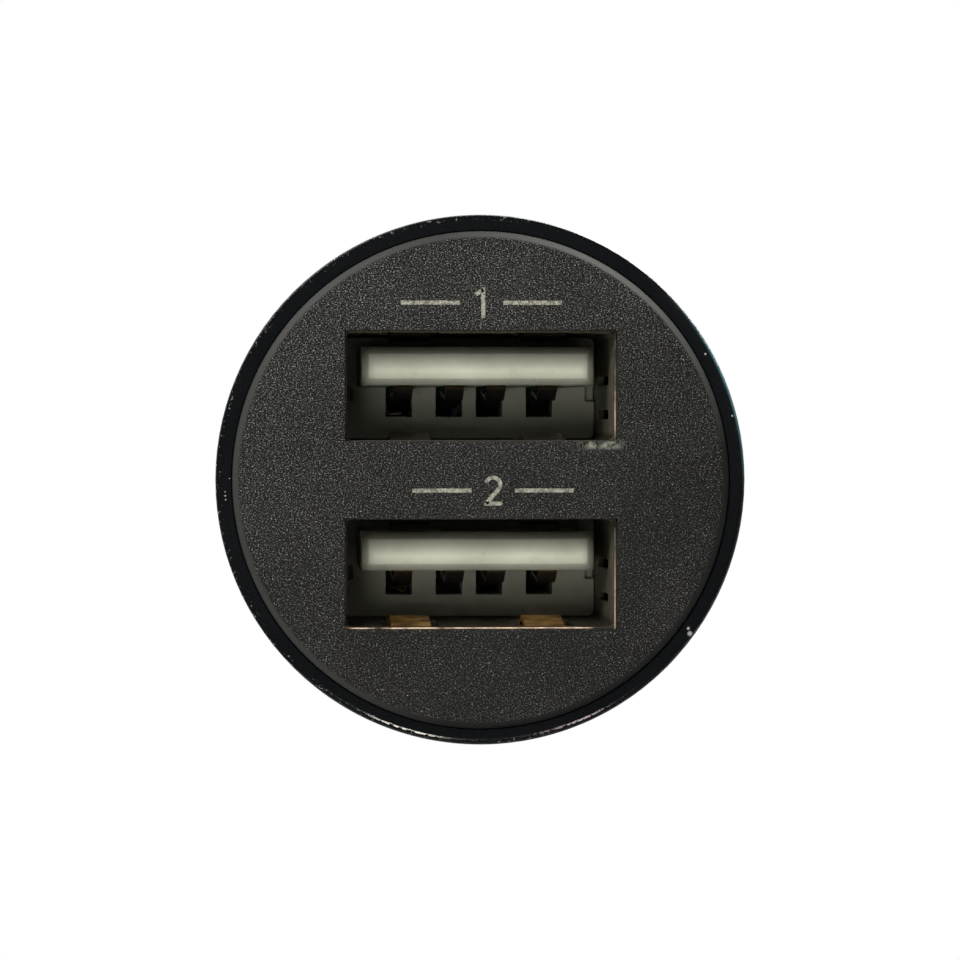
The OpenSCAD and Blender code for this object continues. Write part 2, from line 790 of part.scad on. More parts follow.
// A flat chip under the board in the usual eight-lead package, its leads bent out along two sides
package_w = 3.9;
package_len = 4.9;
package_t = 1.4;
package_standoff = 0.12;
lead_pitch = 1.27;
lead_t = 0.2;
lead_reach = 1.0;
side_leads = 4;
module lead_chip(y) {
    side = package_w / 2;
    middle = package_standoff + package_t / 2;
    color([0.10, 0.10, 0.11]) translate([0, y, -board_z]) {
        translate([-side, -package_len / 2, -package_standoff - package_t])
            cube([package_w, package_len, package_t]);
        for (s = [-1, 1], i = [0 : side_leads - 1])
            translate([0, (i - (side_leads - 1) / 2) * lead_pitch - lead_t, 0])
                rotate([90, 0, 180]) mirror([0, 1, 0]) mirror([s > 0 ? 1 : 0, 0, 0])
                    linear_extrude(2 * lead_t) polygon(sheet_outline([
                        [side - 0.1, middle], [side + 0.35, middle],
                        [side + lead_reach / 2, lead_t / 2], [side + lead_reach, lead_t / 2]
                    ], lead_t));
    }
}

module converter_chip() { lead_chip(converter_y); }
module charge_chip() { lead_chip(charge_chip_y); }

// A block part with wrapped metal ends, on the upper (up = 1) or lower side of the board
module end_cap_part(x, y, w, len, h, up) {
    z = up > 0 ? board_z : -board_z - h;
    translate([x - w / 2, y - len / 2, z]) cube([w, len, h]);
}

diode_w = 4.3;
diode_len = 2.6;
diode_h = 2.1;
diode_standoff = 0.1;
diode_lead = [0.7, 1.5, 1.2];
module rectifier_diode() {
    color([0.12, 0.12, 0.12]) {
        translate([0, diode_y, -board_z - diode_standoff - diode_h / 2])
            cube([diode_w, diode_len, diode_h], center = true);
        for (s = [-1, 1])
            translate([s * (diode_w + 0.3) / 2, diode_y, -board_z - diode_lead[2] / 2])
                cube(diode_lead, center = true);
    }
}

fuse_len = 3.2;
fuse_cap_len = 0.6;
fuse_h = 0.9;
fuse_cap_t = 0.1;
module board_fuse() {
    cap_x = (fuse_len - fuse_cap_len) / 2 + fuse_cap_t / 2;
    color([0.86, 0.84, 0.76]) {
        end_cap_part(0, fuse_y, fuse_len, fuse_w - fuse_cap_t, fuse_h, 1);
        for (s = [-1, 1]) end_cap_part(s * cap_x, fuse_y, fuse_cap_len, fuse_w, fuse_h + fuse_cap_t, 1);
    }
}

// Small ceramic capacitors: a row of three on each side and one pair near the board's end
ceramic_w = 1.25;
ceramic_len = 2.0;
ceramic_h = 1.2;
ceramic_pitch = 3.2;
ceramic_row_y = -1.5;
ceramic_tail_x = 3.3;
module chip_capacitors() {
    color([0.62, 0.50, 0.36]) for (s = [-1, 1]) {
        for (i = [0 : 2])
            end_cap_part(s * side_part_x, ceramic_row_y + i * ceramic_pitch,
                         ceramic_w, ceramic_len, ceramic_h, -1);
        end_cap_part(s * ceramic_tail_x, tail_part_y, ceramic_w, ceramic_len, ceramic_h, -1);
    }
}

// Chip resistors: a row of three on each side above the board and one pair near its end below
resistor_w = 0.85;
resistor_len = 1.6;
resistor_h = 0.45;
resistor_pitch = 2.6;
resistor_row_y = -2;
resistor_tail_x = 1.2;
module chip_resistors() {
    color([0.08, 0.08, 0.08]) for (s = [-1, 1]) {
        for (i = [0 : 2])
            end_cap_part(s * side_part_x, resistor_row_y + i * resistor_pitch,
                         resistor_w, resistor_len, resistor_h, 1);
        end_cap_part(s * resistor_tail_x, tail_part_y, resistor_w, resistor_len, resistor_h, -1);
    }
}

head_sleeve();
face_plate();
barrel_housing();
nose_ring();
centre_contact();
contact_spring();
spring_plate();
left_side_contact();
right_side_contact();
upper_port_can();
lower_port_can();
upper_port_insert();
lower_port_insert();
upper_port_contacts();
lower_port_contacts();
port_board();
power_board();
board_pins();
inductor_core();
inductor_coil();
input_capacitor();
output_capacitor();
converter_chip();
charge_chip();
rectifier_diode();
board_fuse();
chip_capacitors();
chip_resistors();
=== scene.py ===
"""Looks of a two-port car charger plug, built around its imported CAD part.

The plug's axis is Y, the port face looks to -Y, and +Z is up, as in the part's own frame.
Materials and added pieces are measured in millimetres, and the lamps and the camera in metres.
"""

import json
import math

import bpy
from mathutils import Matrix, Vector


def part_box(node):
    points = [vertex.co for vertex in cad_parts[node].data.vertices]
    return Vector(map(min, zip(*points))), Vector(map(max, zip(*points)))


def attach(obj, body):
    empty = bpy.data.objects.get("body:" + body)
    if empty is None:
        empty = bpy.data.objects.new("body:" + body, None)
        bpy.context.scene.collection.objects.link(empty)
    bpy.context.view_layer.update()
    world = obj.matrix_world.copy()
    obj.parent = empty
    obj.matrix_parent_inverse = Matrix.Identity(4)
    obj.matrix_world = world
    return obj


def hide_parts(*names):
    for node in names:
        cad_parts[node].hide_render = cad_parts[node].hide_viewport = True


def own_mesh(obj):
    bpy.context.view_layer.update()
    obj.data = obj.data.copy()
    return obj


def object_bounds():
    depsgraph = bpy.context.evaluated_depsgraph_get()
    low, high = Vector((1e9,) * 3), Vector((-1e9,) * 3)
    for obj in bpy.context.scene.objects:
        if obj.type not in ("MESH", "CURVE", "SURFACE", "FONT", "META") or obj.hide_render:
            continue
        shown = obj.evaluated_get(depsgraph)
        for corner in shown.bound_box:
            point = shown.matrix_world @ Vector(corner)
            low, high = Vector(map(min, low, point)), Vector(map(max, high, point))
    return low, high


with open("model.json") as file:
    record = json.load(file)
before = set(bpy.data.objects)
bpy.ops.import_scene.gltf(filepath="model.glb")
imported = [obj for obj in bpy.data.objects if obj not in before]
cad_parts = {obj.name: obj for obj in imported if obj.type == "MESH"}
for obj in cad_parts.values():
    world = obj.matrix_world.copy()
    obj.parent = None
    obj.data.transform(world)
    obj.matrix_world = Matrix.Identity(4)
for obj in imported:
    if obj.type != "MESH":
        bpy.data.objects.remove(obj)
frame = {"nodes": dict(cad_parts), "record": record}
CAD_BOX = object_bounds()
NODES = frame["nodes"]
MM = 0.001

# Places that the frame gives
FACE_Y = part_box("face_plate")[0].y / MM
PLATE_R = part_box("face_plate")[1].x / MM
HEAD_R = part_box("head_sleeve")[1].x / MM
RIM_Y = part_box("head_sleeve")[0].y / MM
CAN_LOW, CAN_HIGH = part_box("upper_port_can")
PORT_Z = (CAN_LOW.z + CAN_HIGH.z) / 2 / MM
CAN_Y = CAN_LOW.y / MM
CAN_HALF_W = (CAN_HIGH.x - CAN_LOW.x) / 2 / MM
CAN_HALF_H = (CAN_HIGH.z - CAN_LOW.z) / 2 / MM
TONGUE_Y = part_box("upper_port_insert")[0].y / MM
FACE_MIDDLE = Vector((0, FACE_Y * MM, 0))

# The front of a port's tongue: half its width, and its edges above the port's axis
TONGUE_HALF_W, TONGUE_LOW, TONGUE_TOP = 5.55, 0.06, 1.90

# The grip fingers of a can: how far their middles lie to each side, half their width, and where they begin
FINGER_X, FINGER_HALF_W, FINGER_Y = 3.2, 0.95, CAN_Y + 1.3

# Where the gilding of the contact springs ends
GILT_END = FACE_Y + 5.6

# Bright marks on the rim, chips painted pale with painted glints: x, z and radius
RIM_MARKS = (
    (9.88, -7.27, 0.10), (9.80, -7.02, 0.06), (10.6, 5.94, 0.045), (11.88, 3.02, 0.04),
    (-12.04, -0.55, 0.025), (-12.03, -0.74, 0.035), (-12.01, -0.92, 0.03), (-11.83, 0.07, 0.02),
)


class Nodes:
    """A node tree, and short ways to fill it."""

    def __init__(self, tree):
        self.tree = tree
        tree.nodes.clear()

    def put(self, kind, inputs=None, **settings):
        """Adds a node, with its inputs joined to sockets or set to values."""
        node = self.tree.nodes.new(kind)
        for key, value in settings.items():
            setattr(node, key, value)
        for key, value in (inputs or {}).items():
            if isinstance(value, bpy.types.NodeSocket):
                self.tree.links.new(value, node.inputs[key])
            else:
                node.inputs[key].default_value = value
        return node

    def calc(self, operation, *values):
        return self.put("ShaderNodeMath", dict(enumerate(values)), operation=operation).outputs[0]

    def plus(self, first, second):
        return self.calc("ADD", first, second)

    def minus(self, first, second):
        return self.calc("SUBTRACT", first, second)

    def times(self, product, *others):
        for other in others:
            product = self.calc("MULTIPLY", product, other)
        return product

    def larger(self, first, second):
        return self.calc("MAXIMUM", first, second)

    def apart(self, first, second):
        """How far first and second lie apart."""
        return self.calc("ABSOLUTE", self.minus(first, second))

    def length(self, across, up):
        return self.calc("SQRT", self.plus(self.times(across, across), self.times(up, up)))

    def stretch(self, value, low, high, to_low=0.0, to_high=1.0):
        """value from low..high to to_low..to_high, clamped."""
        inputs = {"Value": value, "From Min": low, "From Max": high, "To Min": to_low, "To Max": to_high}
        return self.put("ShaderNodeMapRange", inputs, clamp=True).outputs[0]

    def below(self, value, low, high):
        """1 where value is below low, falling to 0 at high."""
        return self.stretch(value, low, high, 1.0, 0.0)


class Shader(Nodes):
    """A material made of nodes, which are laid out in the part's frame."""

    def __init__(self, name):
        self.material = bpy.data.materials.new(name)
        self.material.use_nodes = True
        super().__init__(self.material.node_tree)
        coords = self.put("ShaderNodeTexCoord").outputs["Object"]
        scale = self.put("ShaderNodeVectorMath", {0: coords}, operation="SCALE")
        scale.inputs["Scale"].default_value = 1 / MM
        self.place = scale.outputs[0]
        self.x, self.y, self.z = self.put("ShaderNodeSeparateXYZ", {0: self.place}).outputs

    def radius(self):
        """The distance from the plug's axis."""
        return self.length(self.x, self.z)

    def near(self, x, z, size):
        """1 close to the line along Y through x and z, falling to 0 at 1.5 times size from it."""
        away = self.length(self.minus(self.x, x), self.minus(self.z, z))
        return self.below(away, 0.5 * size, 1.5 * size)

    def toward_upper_left(self):
        return self.minus(self.z, self.x)

    def port_height(self):
        """The height above the axis of the nearer port."""
        return self.minus(self.z, self.times(self.calc("SIGN", self.z), PORT_Z))

    def noise(self, size, detail=2.0, rough=0.5, along=None):
        """Noise whose features are about size wide. along packs it closer by (x, y, z)."""
        place = self.place
        if along:
            place = self.put("ShaderNodeVectorMath", {0: place, 1: along}, operation="MULTIPLY").outputs[0]
        inputs = {"Vector": place, "Scale": 0.5 / size, "Detail": detail, "Roughness": rough}
        return self.put("ShaderNodeTexNoise", inputs).outputs["Fac"]

    def cloud(self, size, detail=3.0, rough=0.5):
        """Noise spread over the whole range from 0 to 1."""
        return self.stretch(self.noise(size, detail, rough), 0.35, 0.65)

    def blend(self, share, first, second):
        """The colour between first and second by share. A colour is a socket or three numbers."""
        node = self.put("ShaderNodeMix", {0: share}, data_type="RGBA")
        for slot, colour in ((6, first), (7, second)):
            if isinstance(colour, bpy.types.NodeSocket):
                self.tree.links.new(colour, node.inputs[slot])
            else:
                node.inputs[slot].default_value = (*colour, 1)
        return node.outputs[2]

    def tilted(self, degrees):
        """The normal of a cone about the Y axis, tilted outward by degrees from the way the face looks."""
        tilt = math.radians(degrees)
        spread = self.calc("DIVIDE", math.sin(tilt), self.radius())
        parts = {0: self.times(self.x, spread), 1: -math.cos(tilt), 2: self.times(self.z, spread)}
        cone = self.put("ShaderNodeCombineXYZ", parts).outputs[0]
        turn = self.put("ShaderNodeVectorTransform", {0: cone}, vector_type="NORMAL",
                        convert_from="OBJECT", convert_to="WORLD")
        return turn.outputs[0]

    def between(self, share, first, second):
        """The normal between first and second by share."""
        node = self.put("ShaderNodeMix", {0: share, 4: first, 5: second}, data_type="VECTOR")
        return self.put("ShaderNodeVectorMath", {0: node.outputs[1]}, operation="NORMALIZE").outputs[0]

    def bump(self, height, depth, edge=0.0):
        """A normal from height, which is 0 to 1 for depth, over edges rounded by edge."""
        inputs = {"Height": height, "Distance": depth * MM, "Strength": 1.0}
        if edge:
            inputs["Normal"] = self.put("ShaderNodeBevel", {"Radius": edge * MM}, samples=6).outputs[0]
        return self.put("ShaderNodeBump", inputs).outputs[0]

    def finish(self, colour, roughness, normal=None, **fixed):
        """Joins the surface shader and returns the material. fixed are its constant sockets."""
        inputs = {"Base Color": colour if isinstance(colour, bpy.types.NodeSocket) else (*colour, 1)}
        inputs["Roughness"] = roughness
        if normal:
            inputs["Normal"] = normal
        inputs.update({key.replace("_", " "): value for key, value in fixed.items()})
        return self.output(self.put("ShaderNodeBsdfPrincipled", inputs))

    def output(self, shader):
        self.put("ShaderNodeOutputMaterial", {0: shader.outputs[0]})
        return self.material


def scuffed(s, colour):
    """colour with the torn, paler patch at the upper window's lower right corner."""
    patch_x, patch_z = CAN_HALF_W - 0.95, PORT_Z - CAN_HALF_H + 0.12
    beside = s.below(s.apart(s.x, patch_x), 0.6, 1.2)
    level = s.below(s.apart(s.z, patch_z), 0.10, 0.28)
    torn = s.stretch(s.noise(0.20, detail=4.0, rough=0.7), 0.40, 0.56)
    return s.blend(s.times(beside, level, torn, 0.6), colour, (0.20, 0.21, 0.16))


def textured_face():
    """Spark-eroded dark plastic of the face plate, with a plain chamfer round it, painted glints on its
    grain and a painted highlight on the chamfer.
    """
    s = Shader("textured_face")
    plain_edge = s.stretch(s.radius(), PLATE_R - 0.36, PLATE_R - 0.25)

    # The grain's pale peaks are painted glints, palest towards the top as painted light raking over it
    cloudy = s.cloud(2.2)
    pits = s.blend(cloudy, (0.0020, 0.0021, 0.0020), (0.0034, 0.0034, 0.0031))
    painted_glint_tops = s.blend(cloudy, (0.175, 0.175, 0.161), (0.235, 0.235, 0.214))
    grain = s.noise(0.037, detail=1.0, rough=0.6, along=(1, 1, 1.3))
    peaks = s.calc("POWER", s.stretch(grain, 0.43, 0.71), 3.1)
    painted_rake_light = s.stretch(s.minus(s.z, s.times(s.x, 0.5)), -6, 10, 0.33, 0.80)
    colour = s.blend(s.times(peaks, painted_rake_light), pits, painted_glint_tops)
    # Sparse painted glints: pale specks where the grain catches the light
    painted_glint = s.stretch(s.noise(0.042, detail=1.0, rough=0.6), 0.66, 0.74)
    colour = s.blend(s.times(painted_glint, 0.55), colour, (0.26, 0.26, 0.24))
    colour = s.blend(plain_edge, colour, (0.005, 0.005, 0.005))
    colour = scuffed(s, colour)

    # The chamfer shows a painted highlight as a paler band, except at the lower right
    on_front = s.below(s.y, FACE_Y + 0.32, FACE_Y + 0.36)
    inside_rim = s.below(s.radius(), PLATE_R - 0.05, PLATE_R - 0.01)
    chamfer = s.times(plain_edge, on_front, inside_rim)
    upper_left = s.stretch(s.toward_upper_left(), -10, 2)
    painted_chamfer_highlight = s.blend(s.stretch(s.x, -2, 5), (0.022, 0.022, 0.021), (0.075, 0.075, 0.072))
    colour = s.blend(s.times(chamfer, upper_left), colour, painted_chamfer_highlight)
    sloped = s.between(upper_left, s.tilted(0), s.tilted(20))
    relief = s.times(grain, s.minus(1.0, plain_edge))
    normal = s.between(chamfer, s.bump(relief, 0.03, edge=0.05), sloped)
    return s.finish(colour, s.stretch(plain_edge, 0, 1, 0.52, 0.44), normal, Specular_IOR_Level=0.12)


def gloss_black_sleeve():
    """Glossy black of the head sleeve, its rim nicked, marked and with worn lines round it; the pale marks
    are part wear, part painted glint, and a teal reflection at the right is painted.
    """
    s = Shader("gloss_black_sleeve")
    radius = s.radius()
    smudge = s.noise(1.6, detail=4.0, rough=0.6)
    colour = s.blend(smudge, (0.0014, 0.0020, 0.0025), (0.0026, 0.0032, 0.0038))

    front = s.below(s.y, RIM_Y + 0.5, RIM_Y + 1.0)
    at_edge = s.times(front, s.stretch(radius, HEAD_R - 0.30, HEAD_R - 0.12))
    # Edge nicks at the left and the listed marks: part wear, part painted glint where they catch the light
    nicks_and_glints = s.stretch(s.noise(0.085, detail=3.0, rough=0.75), 0.62, 0.69)
    nicks_and_glints = s.times(nicks_and_glints, at_edge, s.below(s.x, 1, 4))
    for x, z, size in RIM_MARKS:
        nicks_and_glints = s.larger(nicks_and_glints, s.times(s.near(x, z, size), front))
    colour = s.blend(s.times(nicks_and_glints, 0.7), colour, (0.34, 0.33, 0.30))

    # A painted teal reflection on the rounding at the right
    rounding = s.times(s.stretch(radius, HEAD_R - 0.17, HEAD_R - 0.02),
                       s.below(s.y, RIM_Y + 0.15, RIM_Y + 0.32))
    at_right = s.times(s.stretch(s.x, 8, 9), s.stretch(s.z, -0.5, 3.5), s.below(s.z, 5.5, 8.5))
    colour = s.blend(s.times(rounding, at_right), colour, (0.045, 0.170, 0.195))

    # The rim is flat up to its edge at the upper left, and a broken line lies along it at the bottom
    dented = s.times(s.stretch(s.noise(0.16, detail=3.0, rough=0.7), 0.45, 0.62), at_edge)
    relief = s.plus(s.times(s.noise(0.5), 0.2), s.times(dented, -0.9))
    flat = s.times(s.below(radius, HEAD_R - 0.08, HEAD_R - 0.04), s.below(s.y, RIM_Y + 0.30, RIM_Y + 0.34),
                   s.stretch(s.toward_upper_left(), -1, 3))
    normal = s.between(flat, s.bump(relief, 0.014), s.tilted(0))
    broken = s.stretch(s.noise(0.12, detail=3.0, rough=0.6), 0.42, 0.50)
    line = s.times(s.below(s.apart(radius, HEAD_R - 0.23), 0.03, 0.05), broken,
                   s.below(s.z, -9.5, -8), front)
    normal = s.between(line, normal, s.tilted(15.5))
    rough = s.plus(s.stretch(smudge, 0.3, 0.7, 0.10, 0.18), s.times(nicks_and_glints, 0.35))
    return s.finish(colour, rough, normal, Specular_IOR_Level=0.25)


def satin_barrel():
    """Satin black plastic of the barrel, with its mould's parting line."""
    s = Shader("satin_barrel")
    grain = s.noise(0.14, detail=3.0, rough=0.6)
    colour = s.blend(s.noise(3.0, detail=3.0), (0.012, 0.012, 0.0125), (0.021, 0.021, 0.021))
    rubbed = s.stretch(s.noise(0.7, detail=4.0, rough=0.65, along=(1, 0.25, 1)), 0.60, 0.75)
    colour = s.blend(s.times(rubbed, 0.35), colour, (0.055, 0.054, 0.052))
    parting = s.below(s.calc("ABSOLUTE", s.x), 0.03, 0.09)
    relief = s.plus(s.times(grain, 0.45), s.times(parting, 0.8))
    rough = s.stretch(grain, 0.3, 0.7, 0.36, 0.50)
    return s.finish(colour, rough, s.bump(relief, 0.02, edge=0.08), Specular_IOR_Level=0.42)


def nose_plastic():
    """Harder, slightly glossier black plastic of the nose ring."""
    s = Shader("nose_plastic")
    grain = s.noise(0.18)
    colour = s.blend(s.noise(2.0, detail=3.0), (0.014, 0.014, 0.015), (0.024, 0.024, 0.024))
    rubbed = s.stretch(s.noise(0.5, detail=4.0, rough=0.7), 0.58, 0.72)
    colour = s.blend(s.times(rubbed, 0.4), colour, (0.07, 0.07, 0.068))
    return s.finish(colour, s.stretch(grain, 0.3, 0.7, 0.28, 0.42), s.bump(grain, 0.008, edge=0.10))


def plated_metal(name, bright, dull, rough, scratch_along, worn=None, edge=0.04):
    """A plated or drawn metal with fine scratches along one direction."""
    s = Shader(name)
    scratches = s.noise(0.05, detail=3.0, rough=0.6, along=scratch_along)
    colour = s.blend(s.cloud(1.1, detail=4.0, rough=0.6), dull, bright)
    if worn:
        rubbed = s.stretch(s.noise(0.45, detail=4.0, rough=0.7), 0.56, 0.68)
        colour = s.blend(s.times(rubbed, 0.7), colour, worn)
    roughness = s.stretch(scratches, 0.3, 0.7, rough - 0.06, rough + 0.08)
    return s.finish(colour, roughness, s.bump(scratches, 0.004, edge=edge), Metallic=1.0)


def port_metal():
    """Nickel-plated sheet of the port cans, painted dark as the shade inside the ports: coppery where it was
    cut, with a painted highlight on that edge, golden on the lower grip fingers, and with painted shade on
    each can's lowest wall.
    """
    s = Shader("port_metal")
    port_z = s.port_height()
    scratches = s.noise(0.06, detail=3.0, rough=0.6, along=(1, 0.15, 1))
    # The nickel is painted darker than it is, as painted shade inside the ports
    colour = s.blend(s.cloud(0.9, detail=4.0, rough=0.6), (0.175, 0.165, 0.122), (0.29, 0.275, 0.21))
    # Painted shade darkens the lowest wall of each can
    painted_shade_low_wall = s.below(port_z, 0.45 - CAN_HALF_H, 0.75 - CAN_HALF_H)
    colour = s.blend(painted_shade_low_wall, colour, (0.060, 0.048, 0.036))

    off_middle = s.apart(s.calc("ABSOLUTE", s.x), FINGER_X)
    on_finger = s.below(off_middle, FINGER_HALF_W - 0.02, FINGER_HALF_W + 0.06)
    on_finger = s.times(on_finger, s.stretch(s.y, FINGER_Y - 0.2, FINGER_Y + 0.3))
    colour = s.blend(on_finger, colour, (0.050, 0.038, 0.030))
    gold = s.blend(s.stretch(s.noise(0.5), 0.38, 0.62), (0.16, 0.09, 0.03), (0.58, 0.34, 0.11))
    lowest_fingers = s.times(on_finger, s.below(s.z, -PORT_Z - 1, -PORT_Z))
    colour = s.blend(lowest_fingers, colour, gold)

    # The cut edge is coppery, and its glint is painted bright along the lowest side and, fainter, along the
    # right ones
    bottom_edge = -PORT_Z - CAN_HALF_H
    lowest = s.times(s.below(s.z, bottom_edge + 0.30, bottom_edge + 0.40),
                     s.below(s.x, CAN_HALF_W - 1.5, CAN_HALF_W - 1.2))
    right = s.times(s.stretch(s.x, CAN_HALF_W - 0.27, CAN_HALF_W - 0.23),
                    s.stretch(port_z, -0.8, 1.2, 0.50, 0.12))
    painted_edge_glint = s.times(s.stretch(s.noise(0.45, detail=3.0, rough=0.6), 0.34, 0.54), s.larger(lowest, right))
    edge = s.blend(painted_edge_glint, (0.050, 0.042, 0.032), (1.0, 0.75, 0.54))
    colour = s.blend(s.below(s.y, CAN_Y + 0.02, CAN_Y + 0.16), colour, edge)
    return s.finish(colour, s.stretch(scratches, 0.3, 0.7, 0.34, 0.50), s.bump(scratches, 0.006, edge=0.04),
                    Metallic=0.7)


def insert_plastic():
    """Off-white, slightly translucent nylon of the inserts, with painted shade round the edge of the
    tongue's front.
    """
    s = Shader("insert_plastic")
    colour = s.blend(s.cloud(1.3, detail=4.0, rough=0.6), (0.46, 0.47, 0.37), (0.56, 0.565, 0.455))
    grime = s.stretch(s.noise(0.35, detail=4.0, rough=0.7), 0.60, 0.78)
    colour = s.blend(s.times(grime, 0.35), colour, (0.20, 0.18, 0.12))

    port_z = s.port_height()
    top = s.stretch(port_z, TONGUE_TOP - 1.07, TONGUE_TOP)
    low = s.stretch(port_z, TONGUE_LOW, TONGUE_LOW + 0.66, 0.72, 0)
    end = s.stretch(s.calc("ABSOLUTE", s.x), TONGUE_HALF_W - 0.66, TONGUE_HALF_W, 0, 0.72)
    # Painted shade round the edge of the tongue's front, deepest along its top
    painted_edge_shade = s.stretch(s.length(s.larger(top, low), end), 0, 1, 0, 0.92)
    at_front = s.below(s.y, TONGUE_Y + 0.40, TONGUE_Y + 0.60)
    colour = s.blend(s.times(at_front, painted_edge_shade), colour, (0.0, 0.0, 0.0))
    relief = s.noise(0.12, detail=3.0)
    return s.finish(colour, s.stretch(relief, 0.3, 0.7, 0.42, 0.55), s.bump(relief, 0.008, edge=0.12),
                    Subsurface_Weight=0.12, Subsurface_Radius=(0.0006, 0.0005, 0.0003),
                    Subsurface_Scale=1.0)


def moulded(name, dark, light, rough):
    """A plain moulded or pressed part with faint mottling."""
    s = Shader(name)
    grain = s.noise(0.12, detail=3.0, rough=0.6)
    roughness = s.stretch(grain, 0.3, 0.7, rough - 0.06, rough + 0.08)
    return s.finish(s.blend(s.cloud(1.2), dark, light), roughness, s.bump(grain, 0.01, edge=0.06))


def contact_gold():
    """Contact springs: gilt where the plug rubs, under the tongue, and dark behind; the dark rear is painted
    shade, and the gilt is painted dimmer as in shade.
    """
    s = Shader("contact_gold")
    scratches = s.noise(0.05, detail=3.0, rough=0.6, along=(1, 0.2, 1))
    # The gilt is dimmed and the rear is dark: painted shade inside the port
    gilt = s.below(s.y, GILT_END - 0.4, GILT_END)
    painted_shade_rear = s.blend(scratches, (0.045, 0.042, 0.036), (0.070, 0.064, 0.054))
    colour = s.blend(gilt, painted_shade_rear, (0.50, 0.36, 0.16))
    return s.finish(colour, s.stretch(scratches, 0.3, 0.7, 0.30, 0.44), s.bump(scratches, 0.004, edge=0.03),
                    Metallic=s.stretch(gilt, 0, 1, 0.3, 1.0))


def board_laminate():
    """Dark green solder resist over glass cloth, painted darker still as shade behind the openings."""
    s = Shader("board_laminate")
    cloth = {"Vector": s.place, "Scale": 4.5, "Distortion": 1.5, "Detail": 2.0}
    weave = s.put("ShaderNodeTexWave", cloth).outputs["Fac"]
    colour = s.blend(s.stretch(weave, 0.2, 0.8), (0.007, 0.030, 0.015), (0.011, 0.044, 0.021))
    cells = {"Vector": s.place, "Scale": 1 / 1.6}
    to_edge = s.put("ShaderNodeTexVoronoi", cells, feature="DISTANCE_TO_EDGE").outputs["Distance"]
    tracks = s.below(to_edge, 0.05, 0.09)
    colour = s.blend(s.times(tracks, 0.35), colour, (0.03, 0.10, 0.045))
    return s.finish(colour, s.stretch(weave, 0, 1, 0.28, 0.38), s.bump(tracks, 0.02), Specular_IOR_Level=0.5)


def copper_winding():
    """Dark enamelled copper wire, painted darker still as shade behind the openings."""
    s = Shader("copper_wire")
    strands = s.noise(0.25, along=(1, 1, 6))
    colour = s.blend(strands, (0.13, 0.045, 0.022), (0.22, 0.080, 0.038))
    return s.finish(colour, s.stretch(strands, 0.3, 0.7, 0.24, 0.36), s.bump(strands, 0.01),
                    Metallic=0.6, Coat_Weight=0.2)


def label_ink():
    """Pale pad-printed ink, thin enough that the plate's grain shows through."""
    s = Shader("label_ink")
    thin = s.stretch(s.noise(0.07, rough=0.7), 0.38, 0.62)
    colour = s.blend(thin, (0.060, 0.058, 0.046), (0.205, 0.20, 0.155))
    return s.finish(colour, 0.55, s.bump(s.noise(0.10, detail=3.0, rough=0.6), 0.03))


NICKEL = ((0.74, 0.72, 0.68), (0.56, 0.54, 0.50))
FINISHES = {
    "gloss_black_sleeve": gloss_black_sleeve(),
    "textured_face": textured_face(),
    "satin_barrel": satin_barrel(),
    "nose_plastic": nose_plastic(),
    "nickel_contact": plated_metal("nickel_contact", *NICKEL, 0.24, (1, 0.1, 1), worn=(0.55, 0.42, 0.25)),
    "spring_wire": plated_metal("spring_wire", (0.62, 0.62, 0.62), (0.42, 0.42, 0.43), 0.26, (1, 1, 1),
                                edge=0),
    "spring_brass": plated_metal("spring_brass", (0.80, 0.62, 0.30), (0.62, 0.45, 0.20), 0.30, (1, 0.2, 1)),
    "nickel_leaf": plated_metal("nickel_leaf", *NICKEL, 0.22, (1, 0.08, 1), worn=(0.60, 0.50, 0.33)),
    "port_metal": port_metal(),
    "insert_plastic": insert_plastic(),
    "contact_gold": contact_gold(),
    "board_laminate": board_laminate(),
    "ferrite": moulded("ferrite", (0.030, 0.030, 0.032), (0.055, 0.053, 0.052), 0.62),
    "copper_wire": copper_winding(),
    "capacitor_can": plated_metal("capacitor_can", (0.78, 0.79, 0.80), (0.60, 0.61, 0.63), 0.28,
                                  (1, 1, 0.1)),
    "chip_plastic": moulded("chip_plastic", (0.012, 0.012, 0.013), (0.022, 0.022, 0.023), 0.55),
    "fuse_body": moulded("fuse_body", (0.62, 0.58, 0.46), (0.74, 0.71, 0.60), 0.45),
    "ceramic": moulded("ceramic", (0.34, 0.23, 0.13), (0.47, 0.34, 0.21), 0.50),
    "resistor_black": moulded("resistor_black", (0.010, 0.010, 0.011), (0.020, 0.020, 0.020), 0.40),
}
INK = label_ink()


def wear(obj, finish):
    """Gives obj one finish in place of its plain colour."""
    obj.data.materials.clear()
    obj.data.materials.append(finish)


def smooth(obj, sharpest=32):
    """Shades a CAD node smoothly over all but its sharp edges, by modifiers alone."""
    for polygon in obj.data.polygons:
        polygon.use_smooth = True
    weld = obj.modifiers.new("weld", "WELD")
    weld.merge_threshold = 2e-6
    split = obj.modifiers.new("split", "EDGE_SPLIT")
    split.split_angle = math.radians(sharpest)
    split.use_edge_sharp = False
    weighted = obj.modifiers.new("weighted", "WEIGHTED_NORMAL")
    weighted.weight = 100
    weighted.keep_sharp = True


def dress_nodes():
    for part in frame["record"]["subparts"]:
        node = NODES[part["node"]]
        wear(node, FINISHES[part["material_slot"]])
        smooth(node)


def add_to_scene(name, data):
    obj = bpy.data.objects.new(name, data)
    bpy.context.scene.collection.objects.link(obj)
    return obj


def mesh_object(name, points, faces):
    """An object from points in millimetres, and faces as lists of their numbers."""
    mesh = bpy.data.meshes.new(name)
    mesh.from_pydata([[value * MM for value in point] for point in points], [], faces)
    return add_to_scene(name, mesh)


